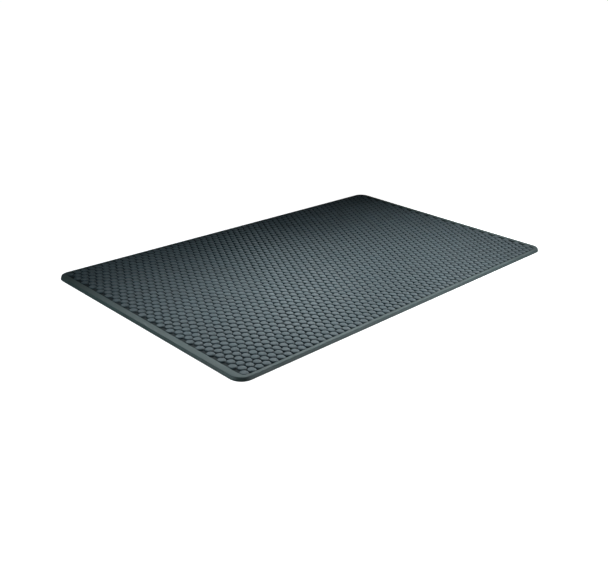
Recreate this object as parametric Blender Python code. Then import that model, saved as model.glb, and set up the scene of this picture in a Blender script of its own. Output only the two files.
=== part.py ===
"""Rubber anti-fatigue mat, built as the separate layers that it is laminated from.

The mat lies flat with its long side along X, its short side along Y and +Z up. The
origin is the centre of the footprint, at floor level. All sizes are in metres.

From the floor up: a rubber base sheet, a bonding film, a closed-cell foam core, a second
bonding film and the rubber wear sheet that carries the domes. A moulded rubber border
stands on the base sheet all round, and its lip covers the edge of the wear sheet.
"""
import math

import bmesh
import bpy

# Overall size
MAT_LENGTH = 1.500           # long side, along X, at the foot of the border
MAT_WIDTH = 0.900            # short side, along Y
CORNER_RADIUS = 0.040        # plan radius of the four corners
CORNER_SEGMENTS = 12         # straight steps in each corner's arc

# Layers, from the floor up
BASE_THICKNESS = 0.0015      # anti-slip base sheet
FILM_THICKNESS = 0.0003      # each bonding film
CORE_THICKNESS = 0.0040      # closed-cell foam
WEB_THICKNESS = 0.0012       # wear sheet between its domes
DOME_HEIGHT = 0.0042         # domes above the web
CLEARANCE = 0.0003           # gap between two pieces that touch

# Border
BASE_INSET = 0.0010          # base sheet's edge, set back under the border
EDGE_DRAFT = 0.0025          # lean of the outer face, from its foot to its top
EDGE_ROUND = 0.0018          # rounding between the outer face and the rim
EDGE_ROUND_SEGMENTS = 4
RIM_WIDTH = 0.0110           # flat top along the long sides, from the outer face to the domed field
END_RIM_WIDTH = 0.0215       # flat top across the two short sides
WALL_THICKNESS = 0.0060      # outer wall, from the foot to the laminate's pocket
RIM_DROP = 0.0012            # rim's top, below the tops of the domes
CUTTER_OVERRUN = 0.0050      # how far a cutter passes the faces that it cuts through

# Levels and insets that follow from the sizes above
BASE_FILM_FLOOR = BASE_THICKNESS + CLEARANCE
CORE_FLOOR = BASE_FILM_FLOOR + FILM_THICKNESS + CLEARANCE
TOP_FILM_FLOOR = CORE_FLOOR + CORE_THICKNESS + CLEARANCE
WEAR_FLOOR = TOP_FILM_FLOOR + FILM_THICKNESS + CLEARANCE
FIELD_FLOOR = WEAR_FLOOR + WEB_THICKNESS
DOME_TOP = FIELD_FLOOR + DOME_HEIGHT
BORDER_FLOOR = BASE_THICKNESS + CLEARANCE
RIM_TOP = DOME_TOP - RIM_DROP
LIP_FLOOR = FIELD_FLOOR + CLEARANCE
LAMINATE_INSET = WALL_THICKNESS + CLEARANCE
WINDOW_INSET = EDGE_DRAFT + RIM_WIDTH
FIELD_INSET = WINDOW_INSET + CLEARANCE
END_EXTRA = END_RIM_WIDTH - RIM_WIDTH

# Colour as linear red, green, blue, then roughness
RUBBER_FIELD = ((0.085, 0.105, 0.115), 0.55)
RUBBER_BORDER = ((0.115, 0.138, 0.142), 0.60)
RUBBER_BASE = ((0.020, 0.022, 0.023), 0.75)
FOAM = ((0.035, 0.038, 0.040), 0.90)
FILM = ((0.520, 0.500, 0.430), 0.35)


def clear_scene():
    """Remove every object that the start-up scene holds."""
    for item in list(bpy.data.objects):
        bpy.data.objects.remove(item, do_unlink=True)


def new_collection(name):
    """Add an empty collection to the scene."""
    collection = bpy.data.collections.new(name)
    bpy.context.scene.collection.children.link(collection)
    return collection


def new_material(name, finish):
    """Make a plain non-metal material from a (colour, roughness) pair."""
    colour, roughness = finish
    material = bpy.data.materials.new(name)
    material.use_nodes = True
    shader = material.node_tree.nodes["Principled BSDF"]
    shader.inputs["Base Color"].default_value = (*colour, 1.0)
    shader.inputs["Roughness"].default_value = roughness
    shader.inputs["Metallic"].default_value = 0.0
    return material


def outline_face(bm, inset, level):
    """Add the mat's rounded outline, drawn in by inset, as one face at a level."""
    bmesh.ops.create_grid(bm, x_segments=1, y_segments=1, size=0.5)
    bmesh.ops.scale(bm, vec=(MAT_LENGTH - 2 * inset, MAT_WIDTH - 2 * inset, 1.0), verts=bm.verts)
    bmesh.ops.translate(bm, vec=(0.0, 0.0, level), verts=bm.verts)
    bmesh.ops.bevel(bm, geom=bm.verts[:], offset=CORNER_RADIUS - inset, offset_type="OFFSET",
                    segments=CORNER_SEGMENTS, profile=0.5, affect="VERTICES")
    bm.faces.ensure_lookup_table()
    return bm.faces[0]


def raise_slab(bm, face, steps):
    """Build a closed slab over a face: each step draws the top in, then lifts it.

    A step is (inset, end_extra, rise), and end_extra draws the two short sides in further.
    The first face stays as the underside.
    """
    underside = bmesh.ops.duplicate(bm, geom=[face])
    bottom = [item for item in underside["geom"] if isinstance(item, bmesh.types.BMFace)]
    bmesh.ops.reverse_faces(bm, faces=bottom)
    for inset, end_extra, rise in steps:
        bmesh.ops.inset_individual(bm, faces=[face], thickness=inset, depth=rise, use_even_offset=True)
        for corner in face.verts:
            corner.co.x -= math.copysign(end_extra, corner.co.x)
    bmesh.ops.remove_doubles(bm, verts=bm.verts, dist=1e-6)
    return face


def finish_object(bm, name, collection):
    """Turn the mesh into a smooth-shaded object with sharp edges kept."""
    mesh = bpy.data.meshes.new(name)
    bm.to_mesh(mesh)
    bm.free()
    mesh.shade_smooth()
    mesh.set_sharp_from_angle(angle=math.radians(30))
    item = bpy.data.objects.new(name, mesh)
    collection.objects.link(item)
    return item


def make_slab(name, inset, floor, steps, collection):
    """Make one slab that follows the mat's outline."""
    bm = bmesh.new()
    raise_slab(bm, outline_face(bm, inset, floor), steps)
    return finish_object(bm, name, collection)


def make_sheet(name, inset, floor, thickness, finish, collection):
    """Make one flat sheet that follows the mat's outline."""
    sheet = make_slab(name, inset, floor, [(0.0, 0.0, thickness)], collection)
    sheet.data.materials.append(new_material(name, finish))
    return sheet


def make_wear_sheet(collection):
    """Make the wear sheet: a thin web under the lip and a thick field inside it.

    The field's flat top stands for the tops of the domes, which carry the load.
    """
    steps = [
        (0.0, 0.0, WEB_THICKNESS),
        (FIELD_INSET - LAMINATE_INSET, END_EXTRA, 0.0),
        (0.0, 0.0, DOME_HEIGHT),
    ]
    sheet = make_slab("wear_sheet", LAMINATE_INSET, WEAR_FLOOR, steps, collection)
    sheet.data.materials.append(new_material("wear_sheet", RUBBER_FIELD))
    return sheet


def make_pocket_cutter(collection):
    """Make the stepped cutter that hollows the border for the laminate and the field."""
    steps = [
        (0.0, 0.0, CUTTER_OVERRUN + LIP_FLOOR - BORDER_FLOOR),
        (WINDOW_INSET - WALL_THICKNESS, END_EXTRA, 0.0),
        (0.0, 0.0, RIM_TOP - LIP_FLOOR + CUTTER_OVERRUN),
    ]
    cutter = make_slab("laminate_pocket_cutter", WALL_THICKNESS, BORDER_FLOOR - CUTTER_OVERRUN, steps, collection)
    cutter.display_type = "WIRE"
    cutter.hide_render = True
    return cutter


def make_edge_border(cutter, collection):
    """Make the border: a leaning outer face, a rounded shoulder and a rim with a lip."""
    bm = bmesh.new()
    top = raise_slab(bm, outline_face(bm, 0.0, BORDER_FLOOR), [(EDGE_DRAFT, 0.0, RIM_TOP - BORDER_FLOOR)])
    bmesh.ops.bevel(bm, geom=top.edges[:], offset=EDGE_ROUND, offset_type="OFFSET",
                    segments=EDGE_ROUND_SEGMENTS, profile=0.5, affect="EDGES")
    border = finish_object(bm, "edge_border", collection)
    border.data.materials.append(new_material("edge_border", RUBBER_BORDER))
    hollow = border.modifiers.new("laminate_pocket", "BOOLEAN")
    hollow.operation = "DIFFERENCE"
    hollow.solver = "EXACT"
    hollow.object = cutter
    return border


def main():
    """Build the whole mat."""
    clear_scene()
    parts = new_collection("anti_fatigue_mat")
    cutters = new_collection("cutters")
    make_sheet("base_sheet", BASE_INSET, 0.0, BASE_THICKNESS, RUBBER_BASE, parts)
    make_sheet("base_bond_film", LAMINATE_INSET, BASE_FILM_FLOOR, FILM_THICKNESS, FILM, parts)
    make_sheet("cushion_core", LAMINATE_INSET, CORE_FLOOR, CORE_THICKNESS, FOAM, parts)
    make_sheet("top_bond_film", LAMINATE_INSET, TOP_FILM_FLOOR, FILM_THICKNESS, FILM, parts)
    make_wear_sheet(parts)
    make_edge_border(make_pocket_cutter(cutters), parts)


if __name__ == "__main__":
    main()
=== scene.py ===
"""Studio picture of a domed rubber anti-fatigue mat, laid out as an add-on.

The mat's frame is loaded first, and every piece takes its place from it: the moulded
wear sheet with its staggered domes, the border, the foam core, the bonding films and the
anti-slip base. Each operator makes one piece or the stage, and main() calls them in turn.
All sizes are in metres, with +X along the mat's long side and +Z up.
"""
import math

import bmesh
import bpy
import numpy as np
from bpy.props import (FloatProperty, FloatVectorProperty, IntProperty, PointerProperty,
                       StringProperty)
from mathutils import Matrix, Vector


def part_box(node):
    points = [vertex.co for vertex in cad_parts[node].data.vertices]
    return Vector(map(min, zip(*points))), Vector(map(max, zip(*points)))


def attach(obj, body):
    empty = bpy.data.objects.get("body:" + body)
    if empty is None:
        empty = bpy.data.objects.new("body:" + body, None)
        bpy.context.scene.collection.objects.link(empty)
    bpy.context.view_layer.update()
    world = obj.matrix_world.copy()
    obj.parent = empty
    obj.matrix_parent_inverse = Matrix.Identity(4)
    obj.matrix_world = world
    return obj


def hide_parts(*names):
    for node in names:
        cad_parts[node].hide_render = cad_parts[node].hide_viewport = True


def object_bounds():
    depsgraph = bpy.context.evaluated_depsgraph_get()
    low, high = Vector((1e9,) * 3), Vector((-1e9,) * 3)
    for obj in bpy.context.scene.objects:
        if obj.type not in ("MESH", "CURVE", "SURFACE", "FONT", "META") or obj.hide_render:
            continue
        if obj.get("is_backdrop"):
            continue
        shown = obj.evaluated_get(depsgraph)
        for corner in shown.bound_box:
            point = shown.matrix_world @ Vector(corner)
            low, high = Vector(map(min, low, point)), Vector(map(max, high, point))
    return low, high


bl_info = {
    "name": "Anti-Fatigue Mat",
    "version": (1, 0, 0),
    "blender": (4, 5, 0),
    "location": "View3D > Sidebar > Mat",
    "description": "Domed rubber standing mat with its border, foam core and anti-slip base",
    "category": "Object",
}

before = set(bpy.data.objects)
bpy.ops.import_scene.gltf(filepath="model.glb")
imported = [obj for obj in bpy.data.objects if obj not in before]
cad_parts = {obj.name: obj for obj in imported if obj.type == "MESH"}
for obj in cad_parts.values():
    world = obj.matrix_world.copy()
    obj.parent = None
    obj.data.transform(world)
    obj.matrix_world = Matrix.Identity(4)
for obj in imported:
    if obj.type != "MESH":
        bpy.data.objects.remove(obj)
CAD_LOW, CAD_HIGH = (tuple(corner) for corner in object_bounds())
BODY = "root"

WEAR_LOW, WEAR_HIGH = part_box("wear_sheet")
BORDER_LOW, BORDER_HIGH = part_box("edge_border")
CORE_LOW, CORE_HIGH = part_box("cushion_core")
BASE_LOW, BASE_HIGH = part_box("base_sheet")

MM = 0.001
TOUCH_GAP = 0.3 * MM         # gap between two pieces that touch
DOME_RING_SHARES = (0.985, 0.88, 0.64)   # rings of a dome, as shares of its radius
GROOVE_SHADE_SHARE = 0.9           # height up a dome, as a share, where the painted shade in the valleys ends
GROOVE_SHADE = 0.3           # painted shade: share of the colour left at the floor of a valley
GROOVE_SHADE_SHEEN = 0.1           # specular level at the floor of a valley, dulled with the painted shade
GROOVE_TOP_SHEEN = 0.5       # specular level above the painted shade
CORE_ROLL_SHARE = 0.25       # rolled edge of the foam, as a share of its thickness
STUD_TIP_SHARE = 0.7         # a grip stud's tip, as a share of its radius at the foot
RUBBER_IOR, FOAM_IOR, FILM_IOR = 1.52, 1.50, 1.49
FROTH_MM, FROTH_DEPTH_MM = 0.8, 0.25     # size and depth of the foam's cut cells
WAVE_MM, WAVE_HEIGHT_MM = 12.0, 0.1      # length and height of the film's waviness
FLOOR_SIDE = 60.0
FLOOR_GAP = 0.2 * MM
FLOOR_GLOW = 1.0             # the floor's own light, which leaves no shadow on it
SURROUND_LIGHT = 0.02        # the surround's light on the mat
LAMP_COLOUR = (0.88, 1.0, 1.03)          # daylight tubes, a little cool

# Softboxes. Each faces its target on the floor, from an azimuth anticlockwise of +X and an
# elevation in degrees, at a distance in metres. Then come its width and height, the spread
# of its grid in degrees and its watts. The narrow grids let the far long side fall dark.
SOFT_LIGHTS = (
    ("right_low", (0.0, -0.25), 0, 25, 1.6, (0.8, 0.8), 53, 1.1),
    ("right_middle", (0.0, -0.25), 0, 45, 1.6, (0.8, 0.8), 53, 1.1),
    ("right_high", (0.0, -0.25), 0, 65, 1.6, (0.8, 0.8), 53, 1.1),
    ("right_narrow", (-0.3, -0.25), 0, 35, 1.5, (0.6, 0.6), 45, 0.35),
    ("back_left", (-0.55, -0.25), 75, 40, 1.3, (0.5, 0.5), 50, 0.7),
    ("back_right", (0.45, -0.3), 75, 40, 1.3, (0.5, 0.5), 55, 0.4),
    ("corner_low", (-0.45, -0.25), 40, 30, 1.3, (0.5, 0.5), 50, 0.45),
    ("corner_high", (0.45, -0.3), 40, 50, 1.3, (0.5, 0.5), 55, 0.36),
    ("front_edge", (0.3, -0.45), -78, 11, 1.0, (1.8, 0.25), 180, 11.5),
    ("left_edge", (-0.75, 0.0), 180, 17, 1.0, (0.25, 0.9), 180, 9.5),
)


# Settings

def length_setting(name, description, default):
    """A length in metres that a user can change."""
    return FloatProperty(name=name, description=description, default=default, min=0.0,
                         unit="LENGTH", subtype="DISTANCE", precision=5)


def colour_setting(name, description, default):
    """A colour as an sRGB hex value."""
    return StringProperty(name=name, description=description, default=default)


class MatDomeSettings(bpy.types.PropertyGroup):
    """Sizes of the domed field."""
    pitch: length_setting("Pitch", "Distance between neighbouring domes in a row", 0.0257)
    row_pitch: length_setting("Row pitch", "Distance between neighbouring rows", 0.0223)
    radius: length_setting("Dome radius", "Radius of a dome where it leaves the web", 0.0120)
    web: length_setting("Web", "Thickness of the wear sheet between its domes", 0.0012)
    edge_gap: length_setting("Edge gap", "Least gap from a dome to the border's lip", 0.0004)
    bluntness: FloatProperty(
        name="Bluntness", description="Exponent of the section: 2 is an ellipse, more is boxier",
        default=5.0, min=1.5, max=8.0)
    height_spread: FloatProperty(
        name="Height spread", description="Share by which moulded domes differ in height",
        default=0.02, min=0.0, max=0.2, subtype="FACTOR")
    seed: IntProperty(name="Seed", description="Seed of the height differences", default=7)


class MatBorderSettings(bpy.types.PropertyGroup):
    """Sizes of the moulded border."""
    corner_radius: length_setting("Corner radius", "Plan radius of the mat's corners", 0.040)
    draft: length_setting("Draft", "Lean of the outer face from foot to top", 0.0025)
    edge_round: length_setting("Edge round", "Rounding of the outer top edge", 0.0018)
    lip_round: length_setting("Lip round", "Rounding of the lip's inner edge", 0.0005)
    rim_width: length_setting("Rim width", "Flat top along the two long sides", 0.0110)
    end_rim_width: length_setting("End rim width", "Flat top across the two short sides", 0.0215)
    wall: length_setting("Wall", "Outer wall outside the laminate's pocket", 0.0060)


class MatBaseSettings(bpy.types.PropertyGroup):
    """Sizes of the anti-slip base sheet."""
    stud_pitch: length_setting("Stud pitch", "Distance between neighbouring grip studs", 0.0260)
    stud_row_pitch: length_setting("Stud row pitch", "Distance between rows of studs", 0.0225)
    stud_radius: length_setting("Stud radius", "Radius of a grip stud at its foot", 0.0060)
    stud_height: length_setting("Stud height", "Height of a grip stud under the sheet", 0.0005)
    stud_margin: length_setting("Stud margin", "Plain margin round the studs", 0.0120)


class MatColourSettings(bpy.types.PropertyGroup):
    """Colours of the rubbers, the foam and the films, as sRGB hex values."""
    field: colour_setting("Field", "Wear sheet's charcoal rubber", "#2C3A40")
    field_dust: colour_setting("Field bloom", "Paler bloom on the wear sheet", "#37464C")
    border: colour_setting("Border", "Border's rubber", "#303D3C")
    border_dust: colour_setting("Border bloom", "Paler bloom on the border", "#3B4A49")
    base: colour_setting("Base", "Base sheet's rubber", "#1B1D1E")
    foam: colour_setting("Foam", "Closed-cell foam", "#2A2D2E")
    film: colour_setting("Film", "Hot-melt bonding film", "#B9AF93")
    floor: colour_setting("Floor", "Pale studio floor", "#FFFFFF")


class MatCameraSettings(bpy.types.PropertyGroup):
    """The camera's place and lens."""
    location: FloatVectorProperty(
        name="Location", description="Where the camera stands", size=3,
        default=(-1.8455, -1.7045, 0.9852), unit="LENGTH", subtype="TRANSLATION")
    azimuth: FloatProperty(name="Azimuth", description="Heading, 0 looks along +Y", unit="ROTATION",
                           default=math.radians(-46.224))
    elevation: FloatProperty(name="Elevation", description="How far the camera looks down",
                             unit="ROTATION", default=math.radians(23.018))
    roll: FloatProperty(name="Roll", description="Tilt about the line of sight", unit="ROTATION",
                        default=math.radians(2.494))
    lens: FloatProperty(name="Lens", description="Focal length", default=45.746, unit="CAMERA")


class MatSettings(bpy.types.PropertyGroup):
    """All settings of the mat."""
    domes: PointerProperty(type=MatDomeSettings, name="Domes", description="Domed field")
    border: PointerProperty(type=MatBorderSettings, name="Border", description="Moulded border")
    base: PointerProperty(type=MatBaseSettings, name="Base", description="Anti-slip base sheet")
    colours: PointerProperty(type=MatColourSettings, name="Colours", description="Colours")
    camera: PointerProperty(type=MatCameraSettings, name="Camera", description="Camera")


# Outlines, sections and meshes

def rounded_outline(half_length, half_width, radius, arc_steps=16, side_step=0.05):
    """Points and inward normals round a rectangle with rounded corners, anticlockwise.

    Each corner is a quarter circle about its own centre, and each side is cut into equal
    steps no longer than side_step. A normal points from the outline towards its centre.
    """
    centres = np.array([(1, 1), (-1, 1), (-1, -1), (1, -1)])
    centres = centres * (half_length - radius, half_width - radius)
    angles = np.radians(90.0 * np.arange(4))[:, None] + np.linspace(0.0, math.pi / 2, arc_steps + 1)
    outward = np.stack([np.cos(angles), np.sin(angles)], axis=-1)
    arcs = centres[:, None, :] + radius * outward
    points, normals = [], []
    for corner in range(4):
        points.append(arcs[corner])
        normals.append(-outward[corner])
        start, end = arcs[corner][-1], arcs[(corner + 1) % 4][0]
        steps = max(1, math.ceil(np.linalg.norm(end - start) / side_step))
        share = np.arange(1, steps)[:, None] / steps
        points.append(start + share * (end - start))
        normals.append(np.repeat(-outward[corner][-1:], steps - 1, axis=0))
    return np.concatenate(points), np.concatenate(normals)


def arc_points(centre, radius, start, end, steps=5):
    """Points on an arc of a section, from one angle to another, in degrees."""
    angles = np.radians(np.linspace(start, end, steps + 1))
    return centre + radius * np.stack([np.cos(angles), np.sin(angles)], axis=-1)


def sweep_section(points, normals, section, end_extra=0.0):
    """Carry a section round an outline: inset along the inward normal, height along +Z.

    Each point of the section is then moved along X by its end_extra, towards the middle,
    which makes the two ends wider than the long sides.
    """
    ring = points[:, None, :] + normals[:, None, :] * section[None, :, :1]
    ring[:, :, 0] -= np.sign(points[:, None, 0]) * end_extra
    height = np.broadcast_to(section[None, :, 1:], (*ring.shape[:2], 1))
    return np.concatenate([ring, height], axis=-1).reshape(-1, 3)


def grid_quads(rows, columns, close_columns):
    """Faces between neighbouring rows and columns of a grid whose rows close on themselves."""
    row = np.arange(rows)[:, None]
    column = np.arange(columns if close_columns else columns - 1)[None, :]
    after, beside = (row + 1) % rows, (column + 1) % columns
    corners = [row * columns + column, after * columns + column,
               after * columns + beside, row * columns + beside]
    corners = [np.broadcast_to(corner, (rows, column.size)) for corner in corners]
    return np.stack(corners, axis=-1).reshape(-1, 4)


def make_piece(name, vertices, face_sets, smooth_angle=35.0):
    """Put vertices and sets of equal-sided faces into a new mesh object at the origin."""
    mesh = bpy.data.meshes.new(name)
    sizes = np.concatenate([np.full(len(faces), faces.shape[1]) for faces in face_sets])
    corners = np.concatenate([faces.ravel() for faces in face_sets]).astype(np.int32)
    mesh.vertices.add(len(vertices))
    mesh.vertices.foreach_set("co", np.asarray(vertices, np.float32).ravel())
    mesh.loops.add(len(corners))
    mesh.loops.foreach_set("vertex_index", corners)
    mesh.polygons.add(len(sizes))
    mesh.polygons.foreach_set("loop_start", (np.cumsum(sizes) - sizes).astype(np.int32))
    mesh.update(calc_edges=True)
    mesh.validate()
    mesh.shade_smooth()
    mesh.set_sharp_from_angle(angle=math.radians(smooth_angle))
    piece = bpy.data.objects.new(name, mesh)
    bpy.context.scene.collection.objects.link(piece)
    return piece


def hex_lattice(pitch, row_pitch, half_length, half_width):
    """Centres of staggered rows of hexagonal cells that fit between two half sizes.

    Rows run along X. Every other row is moved by half a pitch, and the lattice is centred.
    """
    rows = int(2 * half_width / row_pitch) + 1
    columns = int(2 * half_length / pitch - 0.5) + 1
    row, column = np.meshgrid(np.arange(rows), np.arange(columns), indexing="ij")
    x = (column - (columns - 1) / 2) * pitch + np.where(row % 2, pitch / 4, -pitch / 4)
    y = (row - (rows - 1) / 2) * row_pitch
    return np.stack([x.ravel(), y.ravel()], axis=-1)


def boss_cells(centres, pitch, row_pitch, rings, apex, floor, scale, sectors=12):
    """Hexagonal cells that tile a plane, each with a round boss in it.

    The outer ring of a cell is its hexagon: in direction a its radius is half the pitch
    over the cosine of a's distance from the nearest 60-degree direction, and its Y is
    stretched until the rows meet. The rings inside are circles of a given (radius,
    height), and a fan closes them at the apex. Each cell's heights are multiplied by its
    scale. The hexagons' points lie on a lattice of quarter pitches by sixths of a row, so
    those that neighbours share are found there and merged.
    """
    angle = np.arange(sectors) * 2 * math.pi / sectors
    nearest = (angle + math.pi / 6) % (math.pi / 3) - math.pi / 6
    direction = np.stack([np.cos(angle), np.sin(angle)], axis=-1)
    circles = [np.full(sectors, radius) for radius, _ in rings]
    radii = np.vstack([pitch / 2 / np.cos(nearest), *circles])
    heights = np.array([0.0, *[height for _, height in rings]])
    around = radii[:, :, None] * direction
    around[0, :, 1] *= row_pitch / (pitch * math.cos(math.pi / 6))
    flat = centres[:, None, None, :] + around
    level = floor + scale[:, None, None, None] * heights[None, :, None, None]
    shell = np.concatenate([flat, np.broadcast_to(level, (*flat.shape[:3], 1))], axis=-1)
    tips = np.concatenate([centres, (floor + scale * apex)[:, None]], axis=-1)

    count, layers = len(centres), len(radii)
    hexagons = shell[:, 0].reshape(-1, 3)
    spots = np.round(hexagons[:, :2] / (pitch / 4, row_pitch / 6)).astype(int)
    _, first, shared = np.unique(spots, axis=0, return_index=True, return_inverse=True)
    inner = len(first) + np.arange(count * (layers - 1) * sectors)
    inner = inner.reshape(count, layers - 1, sectors)
    index = np.concatenate([shared.reshape(count, 1, sectors), inner], axis=1)
    tip_index = len(first) + inner.size + np.arange(count)[:, None]
    tip_index = np.broadcast_to(tip_index, (count, sectors))
    beside = np.roll(index, -1, axis=2)
    quads = np.stack([index[:, :-1], beside[:, :-1], beside[:, 1:], index[:, 1:]], axis=-1)
    fans = np.stack([index[:, -1], beside[:, -1], tip_index], axis=-1).reshape(-1, 3)
    vertices = np.concatenate([hexagons[first], shell[:, 1:].reshape(-1, 3), tips])
    return vertices, quads.reshape(-1, 4), fans


def open_edges(*face_sets):
    """Directed edges that only one face uses."""
    edges = np.concatenate([np.stack([faces, np.roll(faces, -1, axis=1)], axis=-1).reshape(-1, 2)
                            for faces in face_sets])
    _, place, uses = np.unique(np.sort(edges, axis=1), axis=0, return_inverse=True,
                               return_counts=True)
    return edges[uses[place.ravel()] == 1]


def fill_between(vertices, *edge_sets):
    """Triangles that fill a flat region between closed loops of edges."""
    edges = np.concatenate(edge_sets)
    used, local = np.unique(edges, return_inverse=True)
    bm = bmesh.new()
    corners = [bm.verts.new(vertices[i]) for i in used]
    links = [bm.edges.new((corners[a], corners[b])) for a, b in local.reshape(-1, 2)]
    bm.verts.index_update()
    bmesh.ops.triangle_fill(bm, edges=links, use_beauty=True)
    faces = used[np.array([[corner.index for corner in face.verts] for face in bm.faces])]
    bm.free()
    a, b, c = (vertices[faces[:, i], :2] for i in range(3))
    turned = np.cross(b - a, c - a) < 0
    faces[turned] = faces[turned][:, ::-1]
    return faces


def boss_sheet(name, outline, rim_level, back_level, cells):
    """A closed sheet with bosses on one side and a flat back.

    Cells carry the bosses, triangles fill the margin out to the outline at the rim's
    level, quads make the edge, and one face closes the back. Bosses on the underside are
    turned face down.
    """
    vertices, quads, fans = cells
    start, count = len(vertices), len(outline)
    front = np.column_stack([outline, np.full(count, rim_level)])
    back = np.column_stack([outline, np.full(count, back_level)])
    front_ring, back_ring = start + np.arange(count), start + count + np.arange(count)
    vertices = np.concatenate([vertices, front, back])
    front_edges = np.stack([front_ring, np.roll(front_ring, -1)], axis=-1)
    margin = fill_between(vertices, front_edges, open_edges(quads, fans))
    wall = np.stack([front_ring, back_ring, np.roll(back_ring, -1), np.roll(front_ring, -1)],
                    axis=-1)
    face_sets = [quads, fans, margin, wall, back_ring[None, ::-1]]
    if back_level > rim_level:
        face_sets = [faces[:, ::-1] for faces in face_sets]
    return make_piece(name, vertices, face_sets)


# Materials

def linear(hex_colour):
    """An sRGB hex value as linear red, green, blue and alpha."""
    values = [int(hex_colour[i:i + 2], 16) / 255 for i in (1, 3, 5)]
    return (*[v / 12.92 if v <= 0.04045 else ((v + 0.055) / 1.055) ** 2.4 for v in values], 1.0)


def add_node(tree, kind, settings=None, **inputs):
    """Add a node, set its properties, and set or link its inputs by name, or by _number."""
    node = tree.nodes.new(kind)
    for name, value in (settings or {}).items():
        setattr(node, name, value)
    for name, value in inputs.items():
        key = int(name[1:]) if name[0] == "_" else name.replace("_", " ")
        socket = node.inputs[key]
        if isinstance(value, bpy.types.NodeSocket):
            tree.links.new(value, socket)
        else:
            socket.default_value = value
    return node


def map_range(tree, value, source, target):
    """Map a value from one (low, high) range to another, held at its ends."""
    return add_node(tree, "ShaderNodeMapRange", Value=value, From_Min=source[0], From_Max=source[1],
                    To_Min=target[0], To_Max=target[1]).outputs["Result"]


def new_material(name):
    """A material whose tree holds only a Principled shader and its output."""
    material = bpy.data.materials.new(name)
    material.use_nodes = True
    tree = material.node_tree
    return material, tree, tree.nodes["Principled BSDF"]


def moulded_rubber(name, colour, bloom, roughness, grain_mm, grain_height_mm, bloom_mm,
                   painted_shade_span=None):
    """Moulded nitrile rubber, matt from the mould's blasted face.

    The eye sees a fine even grain, and a faint paler bloom that lies in soft patches. Given a
    (floor, top) height range for the valleys between domes, the skin is painted darker and
    duller low down, as painted shade, and rises to its own colour at the top.
    """
    material, tree, shader = new_material(name)
    place = add_node(tree, "ShaderNodeTexCoord").outputs["Object"]
    patches = add_node(tree, "ShaderNodeTexNoise", Vector=place, Scale=1 / (bloom_mm * MM),
                       Detail=4.0, Roughness=0.6).outputs["Fac"]
    specks = add_node(tree, "ShaderNodeTexNoise", Vector=place, Scale=1 / (grain_mm * MM),
                      Detail=3.0, Roughness=0.7).outputs["Fac"]
    share = map_range(tree, patches, (0.35, 0.7), (0.0, 1.0))
    base = add_node(tree, "ShaderNodeMix", {"data_type": "RGBA"}, Factor=share,
                    _6=linear(colour), _7=linear(bloom)).outputs[2]
    tone = map_range(tree, specks, (0.3, 0.7), (0.6, 1.4))
    skin = add_node(tree, "ShaderNodeMix", {"data_type": "RGBA", "blend_type": "MULTIPLY"},
                    Factor=0.5, _6=base, _7=tone).outputs[2]
    # Painted shade: colour and specular level fall with height towards the valley floors
    if painted_shade_span:
        height = add_node(tree, "ShaderNodeSeparateXYZ", Vector=place).outputs["Z"]
        shade = map_range(tree, height, painted_shade_span, (GROOVE_SHADE, 1.0))
        skin = add_node(tree, "ShaderNodeVectorMath", {"operation": "SCALE"}, _0=skin,
                        Scale=shade).outputs["Vector"]
        shaded_sheen = map_range(tree, height, painted_shade_span, (GROOVE_SHADE_SHEEN, GROOVE_TOP_SHEEN))
        tree.links.new(shaded_sheen, shader.inputs["Specular IOR Level"])
    tree.links.new(skin, shader.inputs["Base Color"])
    gloss = map_range(tree, patches, (0.3, 0.7), (roughness - 0.05, roughness + 0.06))
    tree.links.new(gloss, shader.inputs["Roughness"])
    grain = add_node(tree, "ShaderNodeBump", Height=specks, Strength=1.0,
                     Distance=grain_height_mm * MM)
    tree.links.new(grain.outputs["Normal"], shader.inputs["Normal"])
    shader.inputs["IOR"].default_value = RUBBER_IOR
    return material


def closed_cell_foam(name, colour):
    """Nitrile foam skived from a bun: matt, and cut through a fine froth of closed cells."""
    material, tree, shader = new_material(name)
    place = add_node(tree, "ShaderNodeTexCoord").outputs["Object"]
    froth = add_node(tree, "ShaderNodeTexVoronoi", Vector=place, Scale=1 / (FROTH_MM * MM))
    pits = add_node(tree, "ShaderNodeBump", Height=froth.outputs["Distance"], Strength=0.8,
                    Distance=FROTH_DEPTH_MM * MM)
    tree.links.new(pits.outputs["Normal"], shader.inputs["Normal"])
    shader.inputs["Base Color"].default_value = linear(colour)
    shader.inputs["Roughness"].default_value = 0.9
    shader.inputs["IOR"].default_value = FOAM_IOR
    return material


def hot_melt_film(name, colour):
    """Cast hot-melt film: straw-coloured, with a soft waviness from the rollers."""
    material, tree, shader = new_material(name)
    place = add_node(tree, "ShaderNodeTexCoord").outputs["Object"]
    cloud = add_node(tree, "ShaderNodeTexNoise", Vector=place, Scale=1 / (WAVE_MM * MM), Detail=3.0)
    wave = add_node(tree, "ShaderNodeBump", Height=cloud.outputs["Fac"], Strength=0.4,
                    Distance=WAVE_HEIGHT_MM * MM)
    tree.links.new(wave.outputs["Normal"], shader.inputs["Normal"])
    shader.inputs["Base Color"].default_value = linear(colour)
    shader.inputs["Roughness"].default_value = 0.35
    shader.inputs["IOR"].default_value = FILM_IOR
    return material


def mount_piece(piece, material, slot, *nodes):
    """Give a new piece its material and its body, and hide the nodes it stands for. The slot is not
    used.
    """
    piece.data.materials.append(material)
    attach(piece, BODY)
    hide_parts(*nodes)
    return piece


# Operators

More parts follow.
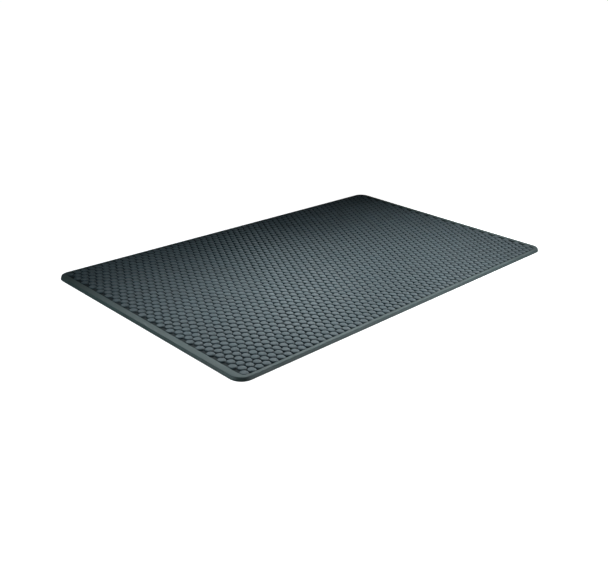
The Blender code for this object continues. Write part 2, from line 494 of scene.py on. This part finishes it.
class MAT_OT_wear_sheet(bpy.types.Operator):
    """Make the moulded wear sheet with its staggered rows of domes"""
    bl_idname = "mat.wear_sheet"
    bl_label = "Wear Sheet"

    def execute(self, context):
        settings = context.scene.mat_settings
        domes, border = settings.domes, settings.border
        level = WEAR_LOW.z + domes.web
        rise = WEAR_HIGH.z - level
        reach = border.draft + domes.edge_gap + domes.radius
        lattice = hex_lattice(domes.pitch, domes.row_pitch,
                              BORDER_HIGH.x - border.end_rim_width - reach,
                              BORDER_HIGH.y - border.rim_width - reach)
        turns = np.random.default_rng(domes.seed).uniform(-1.0, 0.0, len(lattice))
        scale = 1.0 + domes.height_spread * turns
        shares = np.array(DOME_RING_SHARES)
        heights = rise * (1 - shares ** domes.bluntness) ** (1 / domes.bluntness)
        rings = list(zip(domes.radius * shares, heights))
        cells = boss_cells(lattice, domes.pitch, domes.row_pitch, rings, rise, level, scale)
        inset = BORDER_HIGH.x - WEAR_HIGH.x
        outline, _ = rounded_outline(WEAR_HIGH.x, WEAR_HIGH.y, border.corner_radius - inset)
        # Heights over which the valleys between the domes get painted shade
        groove_shade_span = (level, level + GROOVE_SHADE_SHARE * rise)
        sheet = boss_sheet("wear_sheet_domed", outline, level, WEAR_LOW.z, cells)
        colours = settings.colours
        rubber = moulded_rubber("nitrile_rubber_moulded_field", colours.field, colours.field_dust,
                                roughness=0.52, grain_mm=3.0, grain_height_mm=0.25, bloom_mm=60.0,
                                painted_shade_span=groove_shade_span)
        mount_piece(sheet, rubber, "field_rubber", "wear_sheet")
        return {"FINISHED"}


class MAT_OT_edge_border(bpy.types.Operator):
    """Make the moulded border with its leaning face, flat rim and rebated lip"""
    bl_idname = "mat.edge_border"
    bl_label = "Edge Border"

    def execute(self, context):
        settings = context.scene.mat_settings
        border = settings.border
        foot, top = BORDER_LOW.z, BORDER_HIGH.z
        lip = WEAR_LOW.z + settings.domes.web + TOUCH_GAP
        window = border.draft + border.rim_width
        lean = math.degrees(math.atan2(border.draft, top - foot))
        shoulder = (border.draft + border.edge_round, top - border.edge_round)
        face = np.concatenate([[(0.0, foot)],
                               arc_points(shoulder, border.edge_round, 180.0 - lean, 90.0)])
        lip_centre = (window - border.lip_round, top - border.lip_round)
        inner_edge = np.concatenate([arc_points(lip_centre, border.lip_round, 90.0, 0.0, 3),
                                     [(window, lip)]])
        pocket = np.array([(border.wall, lip), (border.wall, foot)])
        section = np.concatenate([face, inner_edge, pocket])
        widening = border.end_rim_width - border.rim_width
        end_extra = np.repeat([0.0, widening, 0.0], [len(face), len(inner_edge), len(pocket)])
        outline, normals = rounded_outline(BORDER_HIGH.x, BORDER_HIGH.y, border.corner_radius)
        vertices = sweep_section(outline, normals, section, end_extra)
        quads = grid_quads(len(outline), len(section), close_columns=True)
        piece = make_piece("edge_border_moulded", vertices, [quads])
        colours = settings.colours
        rubber = moulded_rubber("nitrile_rubber_moulded_border", colours.border,
                                colours.border_dust, roughness=0.55, grain_mm=1.2,
                                grain_height_mm=0.10, bloom_mm=45.0)
        mount_piece(piece, rubber, "border_rubber", "edge_border")
        return {"FINISHED"}


class MAT_OT_cushion_core(bpy.types.Operator):
    """Make the closed-cell foam core"""
    bl_idname = "mat.cushion_core"
    bl_label = "Cushion Core"

    def execute(self, context):
        settings = context.scene.mat_settings
        roll = (CORE_HIGH.z - CORE_LOW.z) * CORE_ROLL_SHARE
        inset = BORDER_HIGH.x - CORE_HIGH.x
        outline, normals = rounded_outline(CORE_HIGH.x, CORE_HIGH.y,
                                           settings.border.corner_radius - inset)
        section = np.concatenate([
            arc_points((roll, CORE_LOW.z + roll), roll, 270.0, 180.0),
            arc_points((roll, CORE_HIGH.z - roll), roll, 180.0, 90.0),
        ])
        vertices = sweep_section(outline, normals, section)
        rows, columns = len(outline), len(section)
        quads = grid_quads(rows, columns, close_columns=False)
        rim = np.arange(rows) * columns
        underside, upper = rim[None, ::-1], rim[None] + columns - 1
        core = make_piece("cushion_core_foam", vertices, [quads, underside, upper])
        foam = closed_cell_foam("nitrile_foam_closed_cell", settings.colours.foam)
        mount_piece(core, foam, "closed_cell_foam", "cushion_core")
        return {"FINISHED"}


class MAT_OT_bond_films(bpy.types.Operator):
    """Give the two bonding films, whose shape is already right, their material"""
    bl_idname = "mat.bond_films"
    bl_label = "Bonding Films"

    def execute(self, context):
        film = hot_melt_film("hot_melt_film_cast", context.scene.mat_settings.colours.film)
        for name in ("top_bond_film", "base_bond_film"):
            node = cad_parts[name]
            node.data.materials.clear()
            node.data.materials.append(film)
        return {"FINISHED"}


class MAT_OT_base_sheet(bpy.types.Operator):
    """Make the anti-slip base sheet with its grip studs"""
    bl_idname = "mat.base_sheet"
    bl_label = "Base Sheet"

    def execute(self, context):
        settings = context.scene.mat_settings
        base = settings.base
        level = BASE_LOW.z + base.stud_height
        reach = base.stud_margin + base.stud_radius
        lattice = hex_lattice(base.stud_pitch, base.stud_row_pitch, BASE_HIGH.x - reach,
                              BASE_HIGH.y - reach)
        rings = [(base.stud_radius, 0.0), (base.stud_radius * STUD_TIP_SHARE, -base.stud_height)]
        cells = boss_cells(lattice, base.stud_pitch, base.stud_row_pitch, rings,
                           -base.stud_height, level, np.ones(len(lattice)))
        inset = BORDER_HIGH.x - BASE_HIGH.x
        outline, _ = rounded_outline(BASE_HIGH.x, BASE_HIGH.y,
                                     settings.border.corner_radius - inset)
        sheet = boss_sheet("base_sheet_studded", outline, BASE_LOW.z, BASE_HIGH.z, cells)
        colours = settings.colours
        rubber = moulded_rubber("nitrile_rubber_moulded_base", colours.base, colours.base,
                                roughness=0.7, grain_mm=1.5, grain_height_mm=0.15, bloom_mm=80.0)
        mount_piece(sheet, rubber, "base_rubber", "base_sheet")
        return {"FINISHED"}


class MAT_OT_studio(bpy.types.Operator):
    """Set the mat on a pale floor under soft studio lights, with its camera"""
    bl_idname = "mat.studio"
    bl_label = "Studio"

    def execute(self, context):
        settings = context.scene.mat_settings
        make_floor(settings.colours.floor)
        make_sky(context.scene)
        for light in SOFT_LIGHTS:
            add_soft_light(*light)
        add_camera(context.scene, settings.camera)
        context.scene.view_settings.view_transform = "Standard"
        return {"FINISHED"}


def make_floor(colour):
    """A flat pale floor, lit from within like a light table, which throws no light on the mat."""
    material, tree, shader = new_material("studio_floor_painted")
    shader.inputs["Base Color"].default_value = linear(colour)
    shader.inputs["Roughness"].default_value = 0.9
    shader.inputs["Emission Color"].default_value = linear(colour)
    shader.inputs["Emission Strength"].default_value = FLOOR_GLOW
    side, level = FLOOR_SIDE / 2, CAD_LOW[2] - FLOOR_GAP
    around = np.array([(-side, -side), (side, -side), (side, side), (-side, side)])
    corners = np.column_stack([around, np.full(4, level)])
    floor = make_piece("studio_floor", corners, [np.arange(4)[None]])
    floor.data.materials.append(material)
    floor.visible_diffuse = False
    floor.visible_glossy = False
    floor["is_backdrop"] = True


def make_sky(scene):
    """A white surround for the camera that lights the mat only dimly."""
    world = bpy.data.worlds.new("studio_surround")
    world.use_nodes = True
    scene.world = world
    tree = world.node_tree
    seen = add_node(tree, "ShaderNodeLightPath").outputs["Is Camera Ray"]
    strength = map_range(tree, seen, (0.0, 1.0), (SURROUND_LIGHT, 1.0))
    backdrop = tree.nodes["Background"]
    backdrop.inputs["Color"].default_value = (1.0, 1.0, 1.0, 1.0)
    tree.links.new(strength, backdrop.inputs["Strength"])


def add_soft_light(name, target, azimuth, elevation, distance, size, spread, watts):
    """A softbox with a grid, which faces its target and isn't seen itself."""
    data = bpy.data.lights.new(name, "AREA")
    data.shape = "RECTANGLE"
    data.size, data.size_y = size
    data.spread = math.radians(spread)
    data.energy = watts
    data.color = LAMP_COLOUR
    turn, rise = math.radians(azimuth), math.radians(elevation)
    level = math.cos(rise)
    away = Vector((math.cos(turn) * level, math.sin(turn) * level, math.sin(rise)))
    lamp = bpy.data.objects.new(name, data)
    lamp.location = Vector((*target, 0.0)) + distance * away
    lamp.rotation_euler = (-away).to_track_quat("-Z", "Y").to_euler()
    lamp.visible_camera = False
    bpy.context.scene.collection.objects.link(lamp)


def add_camera(scene, settings):
    """Stand the camera where the settings say and make it the scene's own."""
    data = bpy.data.cameras.new("camera")
    data.lens = settings.lens
    data.clip_end = FLOOR_SIDE
    camera = bpy.data.objects.new("camera", data)
    turn = (Matrix.Rotation(settings.azimuth, 4, "Z")
            @ Matrix.Rotation(math.pi / 2 - settings.elevation, 4, "X")
            @ Matrix.Rotation(settings.roll, 4, "Z"))
    camera.matrix_world = Matrix.Translation(settings.location) @ turn
    scene.collection.objects.link(camera)
    scene.camera = camera


class MAT_PT_panel(bpy.types.Panel):
    """Lists the mat's pieces in the 3D view's sidebar"""
    bl_idname = "MAT_PT_panel"
    bl_label = "Anti-Fatigue Mat"
    bl_space_type = "VIEW_3D"
    bl_region_type = "UI"
    bl_category = "Mat"

    def draw(self, context):
        for operator in OPERATORS:
            self.layout.operator(operator.bl_idname)


OPERATORS = (
    MAT_OT_wear_sheet,
    MAT_OT_edge_border,
    MAT_OT_cushion_core,
    MAT_OT_bond_films,
    MAT_OT_base_sheet,
    MAT_OT_studio,
)
CLASSES = (
    MatDomeSettings,
    MatBorderSettings,
    MatBaseSettings,
    MatColourSettings,
    MatCameraSettings,
    MatSettings,
    *OPERATORS,
    MAT_PT_panel,
)


def register():
    """Register the classes and hang the settings on the scene."""
    for item in CLASSES:
        bpy.utils.register_class(item)
    bpy.types.Scene.mat_settings = PointerProperty(type=MatSettings)


def unregister():
    """Take the settings and the classes away again."""
    del bpy.types.Scene.mat_settings
    for item in reversed(CLASSES):
        bpy.utils.unregister_class(item)


def main():
    """Make every piece and the stage."""
    register()
    bpy.ops.mat.wear_sheet()
    bpy.ops.mat.edge_border()
    bpy.ops.mat.cushion_core()
    bpy.ops.mat.bond_films()
    bpy.ops.mat.base_sheet()
    bpy.ops.mat.studio()


if __name__ == "__main__":
    main()
